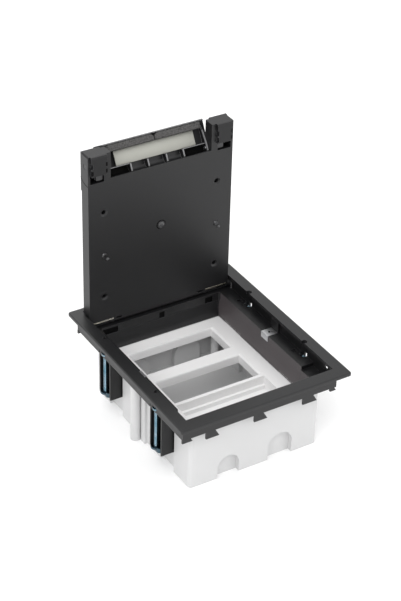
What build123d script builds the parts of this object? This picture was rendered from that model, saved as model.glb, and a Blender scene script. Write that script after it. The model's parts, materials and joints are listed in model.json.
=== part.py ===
"""Floor socket box: cover frame with a hinged lid and cable flap, a device carrier and a mounting box.

Millimetres. X runs along the front edge, +Y points to the hinge side, +Z up.
The origin is the centre of the mounting box's underside. The lid stands open at 90 degrees and its
cable flap leans back on its stop, which is the rest pose of both hinges.
"""
from build123d import *
from math import cos, radians, sin, sqrt
import os

os.makedirs("parts", exist_ok=True)

# Heights
overall_depth = 105.0           # underside of the mounting box to the top of the bezel
bezel_thick = 4.0
lid_drop = 17.3                 # bezel top to the shelf that the lid lies on
shelf_thick = 3.0
carrier_drop = 48.4             # bezel top to the top of the device carrier

# Cover frame
frame_width = 220.0
frame_length = 260.4
frame_corner = 3.0
bezel_round = 1.5
opening_half_width = 95.2
opening_front = -113.9
opening_back = 115.2
tray_wall = 2.2
tray_half_width = 97.9          # inner face of the wall below the bezel
well_half_width = 81.2
well_half_length = 102.9
well_corner = 4.0
skirt_wall = 1.4
skirt_depth = 45.6              # bezel top to the foot of the well wall
skirt_foot = 2.6
corner_shelf_start = -73.4      # the shelf is lower from here to the front wall
riser_wall = 2.5
corner_shelf_drop = 5.0

# Mounting box
box_wall = 1.8
box_skirt_gap = 0.3             # mounting box outside the well's skirt
box_floor = 2.0
box_corner = 5.0
knockout_depth = 6.5
post_radius = 5.0
post_inset_x = 9.4              # carrier's edge to the middle of the post
post_inset_y = 8.2
boss_radius = 6.2
boss_reach = 6.3                # box's side to the middle of the boss
side_centre_y = 2.6             # boss and spring clip share this line
fixing_bore_radius = 2.6
fixing_access_radius = 4.7
fixing_seat_height = 6.0

# Device carrier
carrier_side_gap = 3.8          # well's wall to the carrier
carrier_end_gap = 5.2
carrier_wall = 2.4
module_length = 112.5           # five modules of 22.5
module_width = 45.0
module_bevel_x = 2.5
module_bevel_y = 0.6
module_wall_depth = 12.0
rear_module_y = 58.1
front_module_y = -4.6
trough_back = -32.1
trough_step = 11.0
trough_ledge = 3.3
trough_drop = 16.5

# Clamps
screw_reach = 12.2              # box's side to the screw axis
rear_screw_inset = 39.9         # well's end to the screw axis
front_screw_inset = 48.6
screw_radius = 2.5
screw_head_radius = 4.4
screw_head_height = 3.0
screw_head_drop = 20.9          # bezel top to the top of the screw head
screw_tip_height = 25.0
thread_clearance = 0.05
clamp_wall = 2.0
clamp_mouth = 2.8               # screw axis to the open side of the housing
clamp_stow_side = 16.3          # screw axis to the outer face of the wall beside the stowed claw
clamp_stop_side = 9.5
clamp_foot_height = 27.0
clamp_ear = 4.0
clamp_ear_height = 28.0
claw_length = 12.8
claw_width = 9.0
claw_thick = 2.5
claw_hub_radius = 6.4
claw_tooth = 3.5
nut_collar_radius = 4.0
nut_plate_thick = 2.0
running_clearance = 0.05
slide_clearance = 0.3

# Spring clips
clip_thick = 0.8
clip_width = 13.9
clip_reach = 13.2
clip_lip = 5.5

# Lid, standing open
hinge_y = 110.9
hinge_drop = 11.8               # bezel top to the hinge axis
hinge_pin_radius = 2.5
hinge_pin_start = 62.0
hinge_boss_radius = 5.5
lid_side_gap = 1.4
lid_end_gap = 1.5
lid_rest_gap = 0.3              # closed lid to the shelf
lid_back_edge = 3.6             # hinge axis to the hinge-side end of the lid
lid_wall = 2.5
lid_panel = 2.6
lid_clearance = 0.3
lid_corner = 2.0
carpet_recess = 3.0
corner_skin = 3.0
stiffener_thick = 1.5
relief_clearance = 0.2
lid_heel_round = 2.5            # rounds the edge that sweeps past the bezel's relief
lid_toe_round = 3.0             # rounds the edge that sweeps over the shelf
pin_press_clearance = 0.02
lid_screw_x = 74.0
lid_screw_low = 24.0            # bezel top to the lowest pair of screws
lid_screw_pitch = 56.0
lid_button_height = 99.6        # bezel top to the round button

# Cable flap and its cut-out in the lid
flap_open_angle = 28.8
knuckle_radius = 7.5
pivot_drop = 33.0               # lid's free end to the pivot
flap_half_width = 70.2
flap_gap = 0.5
flap_thick = 2.4
flap_wing_start = 4.5           # the wings beside the cheeks start here, above the pivot
flap_plate_half_width = 51.4
flap_plate_start = 6.0
flap_plate_height = 17.0
flap_plate_thick = 1.5
rib_thick = 1.6
rib_nose = 3.0
cheek_thick = 2.0
ledge_half_width = 65.3
foam_height = 9.5
foam_depth = 12.0
foam_gap = 1.2
foam_half_width = 60.0
flap_pin_radius = 1.5

# Latches in the lid's free corners
latch_inner = 70.9
latch_side_step = 2.8           # lid's side to the block
latch_recess_drop = 35.0        # lid's free end to the foot of the recess
latch_block_height = 24.0
latch_block_rise = 4.2          # how far the block stands out of the lid's inner face
bolt_height = 5.0
bolt_thick = 4.0
bolt_drop = 14.9                # lid's free end to the middle of the bolt
bolt_travel = 5.5
key_width = 9.0
key_grip = 7.0
bolt_depth = 7.5                # lid's inner face to the middle of the bolt

# Worked out from the sizes above
top = overall_depth
shelf_top = top - lid_drop
shelf_under = shelf_top - shelf_thick
bezel_under = top - bezel_thick
corner_shelf_top = shelf_top - corner_shelf_drop
corner_shelf_under = corner_shelf_top - shelf_thick
skirt_bottom = top - skirt_depth
carrier_top = top - carrier_drop
box_half_width = well_half_width + skirt_wall + box_skirt_gap + box_wall
box_half_length = well_half_length + skirt_wall + box_skirt_gap + box_wall
carrier_half_width = well_half_width - carrier_side_gap
carrier_half_length = well_half_length - carrier_end_gap
post_x = carrier_half_width - post_inset_x
post_y = carrier_half_length - post_inset_y
boss_x = box_half_width + boss_reach
screw_x = box_half_width + screw_reach
screw_ys = {"rear": well_half_length - rear_screw_inset, "front": front_screw_inset - well_half_length}
lid_half_width = opening_half_width - lid_side_gap
lid_thick = lid_drop - lid_rest_gap
lid_front_edge = hinge_y - opening_front - lid_end_gap
screw_seat = top - screw_head_drop - screw_head_height
hinge_z = top - hinge_drop
lid_outer_y = hinge_y + hinge_drop
lid_inner_y = lid_outer_y - lid_thick
lid_bottom = hinge_z - lid_back_edge
lid_top = hinge_z + lid_front_edge
pivot_y = lid_outer_y - knuckle_radius
pivot_z = lid_top - pivot_drop
latch_outer = lid_half_width - latch_side_step
recess_bottom = lid_top - latch_recess_drop
block_bottom = lid_top - latch_block_height
bolt_z = lid_top - bolt_drop
lid_screw_rows = [top + lid_screw_low + row * lid_screw_pitch for row in range(3)]
tray_front = opening_front
tray_back = lid_outer_y + relief_clearance
opening_mid_y = (opening_front + opening_back) / 2
opening_length = opening_back - opening_front
tray_mid_y = (tray_front + tray_back) / 2
tray_length = tray_back - tray_front
sides = {"left": -1, "right": 1}

# Where the closed lid brings the latch bolts: a quarter turn about the hinge
strike_y = hinge_y - (bolt_z - hinge_z)
strike_z = hinge_z + lid_inner_y + bolt_depth - hinge_y


def lid_plane(depth):
    """Plane parallel to the lid, a depth behind its inner face; sketch Y is the height above the floor."""
    return Plane.XZ.offset(-(lid_inner_y + depth))


def save(piece, name):
    """Label a finished piece and write it."""
    piece.part.label = name
    export_step(piece.part, f"parts/{name}.step")


def clamp_plane(side, y, height):
    """Plane on a jack screw's axis: X points out of the box and Y to the side where the claw is stowed."""
    return Plane(origin=(side * screw_x, y, height), x_dir=(side, 0, 0), z_dir=(0, 0, 1))


flap_section = Plane(
    origin=(0, pivot_y, pivot_z),
    x_dir=(0, cos(radians(flap_open_angle)), -sin(radians(flap_open_angle))),
    z_dir=(1, 0, 0),
)

# Cover frame: flat bezel, wall below it, shelf for the lid and the well's skirt
with BuildPart() as cover_frame:
    with BuildSketch(Plane.XY.offset(bezel_under)):
        RectangleRounded(frame_width, frame_length, frame_corner)
    extrude(amount=bezel_thick)
    rim_edges = cover_frame.faces().sort_by(Axis.Z)[-1].edges()
    fillet(rim_edges, bezel_round)
    with BuildSketch(Plane.XY.offset(corner_shelf_under)):
        with Locations((0, tray_mid_y)):
            Rectangle(2 * (tray_half_width + tray_wall), tray_length + 2 * tray_wall)
    extrude(amount=bezel_under - corner_shelf_under)
    with BuildSketch(Plane.XY.offset(corner_shelf_top)):
        with Locations((0, tray_mid_y)):
            Rectangle(2 * tray_half_width, tray_length)
    extrude(amount=bezel_under - corner_shelf_top, mode=Mode.SUBTRACT)
    # The shelf behind the lowered front corners
    with BuildSketch(Plane.XY.offset(corner_shelf_top)):
        with Locations((0, (corner_shelf_start + tray_back) / 2)):
            Rectangle(2 * tray_half_width, tray_back - corner_shelf_start)
    extrude(amount=shelf_top - corner_shelf_top)
    with BuildSketch(Plane.XY.offset(corner_shelf_under)):
        with Locations((0, (corner_shelf_start + riser_wall + tray_back) / 2)):
            Rectangle(2 * tray_half_width, tray_back - corner_shelf_start - riser_wall)
    extrude(amount=shelf_under - corner_shelf_under, mode=Mode.SUBTRACT)
    # Opening in the bezel, with the relief that the open lid leans on
    with BuildSketch(Plane.XY.offset(bezel_under)):
        with Locations((0, opening_mid_y)):
            Rectangle(2 * opening_half_width, opening_length)
        with Locations((0, (opening_back + tray_back) / 2)):
            Rectangle(2 * (lid_half_width + lid_clearance), tray_back - opening_back)
    extrude(amount=bezel_thick, mode=Mode.SUBTRACT)
    # Skirt of the well, thicker at its foot
    with BuildSketch(Plane.XY.offset(skirt_bottom)):
        RectangleRounded(2 * (well_half_width + skirt_wall), 2 * (well_half_length + skirt_wall), well_corner)
    extrude(amount=shelf_top - skirt_bottom)
    with BuildSketch(Plane.XY.offset(skirt_bottom)):
        RectangleRounded(2 * well_half_width, 2 * well_half_length, well_corner - skirt_wall)
    extrude(amount=shelf_top - skirt_bottom, mode=Mode.SUBTRACT)
    with BuildSketch(Plane.XY.offset(skirt_bottom)):
        RectangleRounded(2 * well_half_width + 1, 2 * well_half_length + 1, well_corner - skirt_wall)
        RectangleRounded(
            2 * (well_half_width - skirt_wall), 2 * (well_half_length - skirt_wall), 1.5, mode=Mode.SUBTRACT
        )
    extrude(amount=skirt_foot)
    # The skirt ends level with the lowered shelf at the front
    with BuildSketch(Plane.XY.offset(corner_shelf_top)):
        with Locations((0, corner_shelf_start)):
            Rectangle(2 * tray_half_width, corner_shelf_start - tray_front, align=(Align.CENTER, Align.MAX))
    extrude(amount=shelf_top - corner_shelf_top, mode=Mode.SUBTRACT)
    # Middle block behind each spring clip, and the access hole down to the fixing boss
    for side in sides.values():
        with BuildSketch(Plane.XY.offset(shelf_top)):
            with Locations((side * (well_half_width + clip_reach + tray_half_width) / 2, side_centre_y)):
                Rectangle(tray_half_width - well_half_width - clip_reach, clip_width)
        extrude(amount=bezel_under - shelf_top)
        with BuildSketch(Plane.XY.offset(shelf_top)):
            with Locations((side * (well_half_width + clip_reach / 2), side_centre_y)):
                Rectangle(clip_reach, clip_width + slide_clearance)
        extrude(amount=-clip_thick - slide_clearance, mode=Mode.SUBTRACT)
        with BuildSketch(Plane.XY.offset(shelf_under)):
            with Locations((side * boss_x, side_centre_y)):
                Circle(fixing_access_radius)
        extrude(amount=shelf_thick, mode=Mode.SUBTRACT)
        # Window in the skirt for the clip's barb
        with BuildSketch(Plane.YZ.offset(side * (well_half_width + skirt_wall / 2))):
            with Locations((side_centre_y, shelf_under - clip_lip / 2)):
                Rectangle(clip_width / 2, clip_lip / 2)
        extrude(amount=skirt_wall, both=True, mode=Mode.SUBTRACT)
        # Driver notch, head recess and see-through window at each jack screw
        for y in screw_ys.values():
            with BuildSketch(Plane.XY.offset(bezel_under)):
                with Locations((side * screw_x, y)):
                    Circle(screw_head_radius - 1)
                with Locations((side * (screw_x - 3), y)):
                    Rectangle(6, 2 * (screw_head_radius - 1))
            extrude(amount=bezel_thick, mode=Mode.SUBTRACT)
            with BuildSketch(Plane.XY.offset(shelf_under)):
                with Locations((side * screw_x, y)):
                    Circle(screw_head_radius + 1)
            extrude(amount=bezel_under - shelf_under - 3, mode=Mode.SUBTRACT)
            with BuildSketch(clamp_plane(side, y, corner_shelf_under)):
                with Locations(
                    (tray_half_width + tray_wall / 2 - screw_x, (clamp_stow_side - clamp_stop_side) / 2)
                ):
                    Rectangle(tray_wall, clamp_stow_side + clamp_stop_side + 2 * slide_clearance)
            extrude(amount=shelf_under - corner_shelf_under, mode=Mode.SUBTRACT)
            with BuildSketch(Plane.XY.offset(shelf_top)):
                with Locations((side * (screw_x - 5.5), y + 11)):
                    Rectangle(6, 6)
            extrude(amount=-2, mode=Mode.SUBTRACT)
        # Strike window for the latch bolt, and a slot beside the hinge
        with BuildSketch(Plane.YZ.offset(side * (tray_half_width + tray_wall / 2))):
            with Locations((strike_y, strike_z)):
                Rectangle(bolt_height + 2 * slide_clearance, bolt_thick + 2 * slide_clearance)
            with Locations((hinge_y - hinge_boss_radius - 1.6, top - 14)):
                SlotOverall(9, 2.4, rotation=90)
        extrude(amount=tray_wall, both=True, mode=Mode.SUBTRACT)
        # Boss that carries the hinge pin
        with BuildSketch(Plane.YZ.offset(side * (lid_half_width + lid_clearance))):
            with Locations((hinge_y, hinge_z)):
                Circle(hinge_boss_radius)
        extrude(amount=side * (tray_half_width + tray_wall - lid_half_width - lid_clearance))
        with BuildSketch(Plane.YZ.offset(side * (lid_half_width - 1))):
            with Locations((hinge_y, hinge_z)):
                Circle(hinge_pin_radius + running_clearance)
        extrude(amount=side * (tray_half_width + tray_wall - lid_half_width + 2), mode=Mode.SUBTRACT)
    # Back wall slots just under the lid's edge
    for x, width in ((-69.0, 22.0), (1.0, 7.4), (66.0, 11.0)):
        with BuildSketch(Plane.XZ.offset(-(well_half_length + skirt_wall / 2))):
            with Locations((x, top - 24)):
                Rectangle(width, 8)
        extrude(amount=skirt_wall, both=True, mode=Mode.SUBTRACT)
    # Locating lugs below the front and back walls, one side slanted
    for face_y, inward in ((tray_front - tray_wall, 1), (tray_back + tray_wall, -1)):
        for x, width, depth in ((-94.0, 13.0, 4.0), (-62.0, 17.0, 9.0), (0.0, 17.0, 9.0), (65.0, 19.0, 9.0), (96.0, 8.0, 4.0)):
            with BuildSketch(Plane.XZ.offset(-face_y)):
                with Locations((x, corner_shelf_under)):
                    Trapezoid(width, depth, 90, 60, align=(Align.CENTER, Align.MAX), rotation=0)
            extrude(amount=-inward * tray_wall)
save(cover_frame, "cover_frame")

# Mounting box: open tub with recessed knock-outs, clamp pockets, fixing bosses and carrier posts
with BuildPart() as mounting_box:
    with BuildSketch(Plane.XY):
        RectangleRounded(2 * box_half_width, 2 * box_half_length, box_corner)
    extrude(amount=shelf_under)
    fillet(mounting_box.faces().sort_by(Axis.Z)[0].edges(), 1.2)
    with BuildSketch(Plane.XY.offset(box_floor)):
        RectangleRounded(2 * (box_half_width - box_wall), 2 * (box_half_length - box_wall), box_corner - box_wall)
    extrude(amount=shelf_under - box_floor, mode=Mode.SUBTRACT)
    # The walls stop lower below the cover frame's front shelf
    with BuildSketch(Plane.XY.offset(corner_shelf_under)):
        with Locations((0, corner_shelf_start + riser_wall + slide_clearance)):
            Rectangle(2 * box_half_width + 1, box_half_length, align=(Align.CENTER, Align.MAX))
    extrude(amount=shelf_under - corner_shelf_under, mode=Mode.SUBTRACT)
    # Arched knock-outs on the front and back walls, recessed from outside
    for end in (-1, 1):
        for x, width, height in ((-34.1, 28.2, 28.0), (34.3, 32.0, 33.5)):
            arch_plane = Plane.XZ.offset(-end * (box_half_length - knockout_depth - box_wall))
            with BuildSketch(arch_plane):
                with Locations((x, 0)):
                    Rectangle(width + 2 * box_wall, height - width / 2, align=(Align.CENTER, Align.MIN))
                with Locations((x, height - width / 2)):
                    Circle(width / 2 + box_wall)
                with Locations((x, 0)):
                    Rectangle(3 * width, 3 * width, align=(Align.CENTER, Align.MAX), mode=Mode.SUBTRACT)
            extrude(amount=-end * knockout_depth)
            with BuildSketch(Plane.XZ.offset(-end * (box_half_length - knockout_depth))):
                with Locations((x, 0)):
                    Rectangle(width, height - width / 2, align=(Align.CENTER, Align.MIN))
                with Locations((x, height - width / 2)):
                    Circle(width / 2)
                with Locations((x, 0)):
                    Rectangle(3 * width, 3 * width, align=(Align.CENTER, Align.MAX), mode=Mode.SUBTRACT)
            extrude(amount=-end * knockout_depth, mode=Mode.SUBTRACT)
    # Carrier posts and the fixing bosses
    with BuildSketch(Plane.XY):
        with GridLocations(2 * post_x, 2 * post_y, 2, 2):
            Circle(post_radius)
    extrude(amount=carrier_top - carrier_wall)
    for side in sides.values():
        with BuildSketch(Plane.XY):
            with Locations((side * boss_x, side_centre_y)):
                Circle(boss_radius)
            with Locations((side * (box_half_width - box_wall / 2 + boss_x) / 2, side_centre_y)):
                Rectangle(boss_x - box_half_width + box_wall / 2, 2 * boss_radius - 4)
            with Locations((side * (box_half_width + 1.5), side_centre_y - side * -11)):
                Rectangle(3.4, 8)
        extrude(amount=shelf_under)
        with BuildSketch(Plane.XY):
            with Locations((side * boss_x, side_centre_y)):
                Circle(fixing_bore_radius)
        extrude(amount=fixing_seat_height, mode=Mode.SUBTRACT)
        with BuildSketch(Plane.XY.offset(fixing_seat_height)):
            with Locations((side * boss_x, side_centre_y)):
                Circle(fixing_access_radius)
        extrude(amount=shelf_under - fixing_seat_height, mode=Mode.SUBTRACT)
        # Window that the spring clip's barb reaches into
        with BuildSketch(Plane.YZ.offset(side * (box_half_width - box_wall / 2))):
            with Locations((side_centre_y, shelf_under - clip_lip / 2)):
                Rectangle(clip_width / 2, clip_lip / 2)
        extrude(amount=box_wall / 2 + 0.01, both=True, mode=Mode.SUBTRACT)
        # Pockets behind the clamp housings
        for y in screw_ys.values():
            pocket_depth = clamp_ear + 1.0
            pocket_top = skirt_bottom - box_wall - 0.6
            pocket_low = clamp_stop_side + 2.0
            pocket_high = clamp_stow_side + 2.2
            with BuildSketch(clamp_plane(side, y, 0)):
                with Locations((box_half_width - screw_x - pocket_depth / 2 - box_wall, (pocket_high - pocket_low) / 2)):
                    Rectangle(pocket_depth, pocket_high + pocket_low + 2 * box_wall)
            extrude(amount=pocket_top + box_wall)
            with BuildSketch(clamp_plane(side, y, 0)):
                with Locations((box_half_width - screw_x - pocket_depth / 2 + 0.5, (pocket_high - pocket_low) / 2)):
                    Rectangle(pocket_depth + 1, pocket_high + pocket_low)
            extrude(amount=pocket_top, mode=Mode.SUBTRACT)
save(mounting_box, "mounting_box")

# Device carrier: plate with two module openings, a lowered cable trough and sockets for the posts
with BuildPart() as device_carrier:
    with BuildSketch(Plane.XY.offset(carrier_top - carrier_wall)):
        RectangleRounded(2 * carrier_half_width, 2 * carrier_half_length, 2)
    extrude(amount=carrier_wall)
    # Turned-down outer edge
    with BuildSketch(Plane.XY.offset(carrier_top - 3 * carrier_wall)):
        RectangleRounded(2 * carrier_half_width, 2 * carrier_half_length, 2)
        offset(amount=-1.6, kind=Kind.INTERSECTION, mode=Mode.SUBTRACT)
    extrude(amount=2 * carrier_wall)
    for module_y in (rear_module_y, front_module_y):
        with BuildSketch(Plane.XY.offset(carrier_top - module_wall_depth)):
            with Locations((0, module_y)):
                Rectangle(module_length + 2 * carrier_wall, module_width + 2 * carrier_wall)
        extrude(amount=module_wall_depth)
        with BuildSketch(Plane.XY.offset(carrier_top - module_wall_depth)):
            with Locations((0, module_y)):
                Rectangle(module_length, module_width)
        extrude(amount=module_wall_depth, mode=Mode.SUBTRACT)
        # Bevel round the opening
        with BuildSketch(Plane.XY.offset(carrier_top - 2.0)):
            with Locations((0, module_y)):
                Rectangle(module_length, module_width)
        with BuildSketch(Plane.XY.offset(carrier_top)):
            with Locations((0, module_y)):
                Rectangle(module_length + 2 * module_bevel_x, module_width + 2 * module_bevel_y)
        loft(mode=Mode.SUBTRACT)
    # Cable trough at the front: step, ledge and floor between the side rims
    trough_half_width = module_length / 2 + module_bevel_x
    with BuildSketch(Plane.YZ):
        with BuildLine():
            Polyline(
                (-carrier_half_length, carrier_top - trough_drop - carrier_wall),
                (trough_back - trough_ledge + carrier_wall, carrier_top - trough_drop - carrier_wall),
                (trough_back - trough_ledge + carrier_wall, carrier_top - trough_step - carrier_wall),
                (trough_back + carrier_wall, carrier_top - trough_step - carrier_wall),
                (trough_back + carrier_wall, carrier_top),
                (-carrier_half_length, carrier_top),
                close=True,
            )
        make_face()
    extrude(amount=trough_half_width + carrier_wall, both=True)
    with BuildSketch(Plane.YZ):
        with BuildLine():
            Polyline(
                (-carrier_half_length + carrier_wall, carrier_top - trough_drop),
                (trough_back - trough_ledge, carrier_top - trough_drop),
                (trough_back - trough_ledge, carrier_top - trough_step),
                (trough_back, carrier_top - trough_step),
                (trough_back, carrier_top),
                (-carrier_half_length + carrier_wall, carrier_top),
                close=True,
            )
        make_face()
    extrude(amount=trough_half_width, both=True, mode=Mode.SUBTRACT)
    # Sockets that snap over the posts
    with BuildSketch(Plane.XY.offset(carrier_top - 3 * carrier_wall)):
        with GridLocations(2 * post_x, 2 * post_y, 2, 2):
            Circle(post_radius + 1.8)
            Circle(post_radius + 0.1, mode=Mode.SUBTRACT)
    extrude(amount=2 * carrier_wall)
save(device_carrier, "device_carrier")

# Clamps: housing, jack screw, nut and swinging claw at each of the four places
housing_top = shelf_under
web_outer = box_half_width - screw_x
nut_base = clamp_foot_height - 0.5
claw_base = nut_base + nut_plate_thick + 0.1
for side_name, side in sides.items():
    for end_name, y in screw_ys.items():
        place = f"{end_name}_{side_name}"
        with BuildPart() as clamp_housing:
            with BuildSketch(clamp_plane(side, y, clamp_foot_height)):
                with Locations(((web_outer + clamp_mouth) / 2, (clamp_stow_side - clamp_stop_side) / 2)):
                    Rectangle(clamp_mouth - web_outer, clamp_stow_side + clamp_stop_side)
            extrude(amount=housing_top - clamp_foot_height)
            with BuildSketch(clamp_plane(side, y, clamp_foot_height)):
                with Locations(
                    ((web_outer + clamp_wall + clamp_mouth) / 2, (clamp_stow_side - clamp_stop_side) / 2)
                ):
                    Rectangle(
                        clamp_mouth - web_outer - clamp_wall, clamp_stow_side + clamp_stop_side - 2 * clamp_wall
                    )
            extrude(amount=screw_seat - 2.5 - clamp_foot_height, mode=Mode.SUBTRACT)
            # Screw seat in the roof, and the recess for the head
            with BuildSketch(clamp_plane(side, y, screw_seat - 2.5)):
                Circle(screw_radius + running_clearance)
            extrude(amount=2.5, mode=Mode.SUBTRACT)
            with BuildSketch(clamp_plane(side, y, screw_seat)):
                Circle(screw_head_radius + 0.6)
                with Locations((screw_head_radius, 0)):
                    Rectangle(2 * screw_head_radius, 2 * screw_head_radius)
            extrude(amount=housing_top - screw_seat, mode=Mode.SUBTRACT)
            # Ears that reach into the pocket of the mounting box
            for ear_y in (clamp_stow_side - clamp_wall / 2, -clamp_stop_side + clamp_wall / 2):
                with BuildSketch(clamp_plane(side, y, clamp_foot_height)):
                    with Locations((web_outer - clamp_ear / 2, ear_y)):
                        Rectangle(clamp_ear, clamp_wall)
                extrude(amount=clamp_ear_height)
            ear_edges = clamp_housing.edges().filter_by(Axis.Y).group_by(Axis.X)
            ear_tip_edges = ear_edges[-1] if side < 0 else ear_edges[0]
            chamfer(ear_tip_edges, 2.5)
        save(clamp_housing, f"clamp_housing_{place}")

        with BuildPart() as jack_screw:
            with BuildSketch(clamp_plane(side, y, screw_tip_height)):
                Circle(screw_radius)
            extrude(amount=screw_seat - screw_tip_height)
            chamfer(jack_screw.faces().sort_by(Axis.Z)[0].edges(), 0.8)
            with BuildSketch(clamp_plane(side, y, screw_seat)):
                Circle(screw_head_radius)
            extrude(amount=screw_head_height)
            fillet(jack_screw.faces().sort_by(Axis.Z)[-1].edges(), 0.8)
            with BuildSketch(clamp_plane(side, y, screw_seat + screw_head_height)):
                Rectangle(4.6, 1.1)
                Rectangle(1.1, 4.6)
            extrude(amount=-1.8, mode=Mode.SUBTRACT)
        save(jack_screw, f"jack_screw_{place}")

        with BuildPart() as clamp_nut:
            nut_back = web_outer + clamp_wall + slide_clearance
            nut_front = clamp_mouth - 0.4
            with BuildSketch(clamp_plane(side, y, nut_base)):
                with Locations(((nut_back + nut_front) / 2, 0)):
                    RectangleRounded(nut_front - nut_back, 2 * (clamp_stop_side - clamp_wall - slide_clearance), 1)
            extrude(amount=nut_plate_thick)
            with BuildSketch(clamp_plane(side, y, nut_base + nut_plate_thick)):
                Circle(nut_collar_radius)
            extrude(amount=claw_thick + 0.4)
            with BuildSketch(clamp_plane(side, y, nut_base)):
                Circle(screw_radius + thread_clearance)
            extrude(amount=nut_plate_thick + claw_thick + 0.4, mode=Mode.SUBTRACT)
        save(clamp_nut, f"clamp_nut_{place}")

        with BuildPart() as clamp_claw:
            with BuildSketch(clamp_plane(side, y, claw_base)):
                Circle(claw_hub_radius)
                with Locations((0, (claw_length - claw_width / 2) / 2)):
                    Rectangle(claw_width, claw_length - claw_width / 2)
                with Locations((0, claw_length - claw_width / 2)):
                    Circle(claw_width / 2)
                Circle(nut_collar_radius + running_clearance, mode=Mode.SUBTRACT)
            extrude(amount=claw_thick)
            with BuildSketch(clamp_plane(side, y, claw_base + claw_thick)):
                with Locations((0, claw_length - claw_width / 2)):
                    Circle(claw_width / 2)
                with Locations((0, claw_length - claw_width / 2 - 1.6)):
                    Circle(claw_width / 2, mode=Mode.SUBTRACT)
                with Locations((0, claw_length - claw_width)):
                    Rectangle(2 * claw_width, claw_width, mode=Mode.SUBTRACT)
            extrude(amount=claw_tooth)
        save(clamp_claw, f"clamp_claw_{place}")

# Spring clips: bent steel strip with a lip and a barb
for side_name, side in sides.items():
    with BuildPart() as spring_clip:
        clip_top = shelf_top - slide_clearance
        with BuildSketch(Plane.XY.offset(clip_top - clip_thick)):
            with Locations((side * (well_half_width - clip_thick + (clip_reach - 0.2 + clip_thick) / 2), side_centre_y)):
                Rectangle(clip_reach - 0.2 + clip_thick, clip_width - 0.2)
            with Locations((side * boss_x, side_centre_y)):
                Circle(1.6, mode=Mode.SUBTRACT)
        extrude(amount=clip_thick)
        with BuildSketch(Plane.XY.offset(clip_top - clip_thick)):
            with Locations((side * (well_half_width - clip_thick / 2), side_centre_y)):
                Rectangle(clip_thick, clip_width - 0.2)
        extrude(amount=-clip_lip - 1.5)
        with BuildSketch(Plane.XZ.offset(-side_centre_y)):
            with BuildLine():
                Polyline(
                    (side * (well_half_width - clip_thick), shelf_under - clip_lip / 4 - 0.3),
                    (side * (box_half_width - 0.4), shelf_under - clip_lip / 2 - 0.2),
                    (side * (box_half_width - 0.4), shelf_under - clip_lip / 2 - 0.8),
                    (side * (well_half_width - clip_thick), shelf_under - clip_lip * 3 / 4 + 0.3),
                    close=True,
                )
            make_face()
        extrude(amount=clip_width / 4 - 0.3, both=True)
    save(spring_clip, f"spring_clip_{side_name}")

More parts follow.
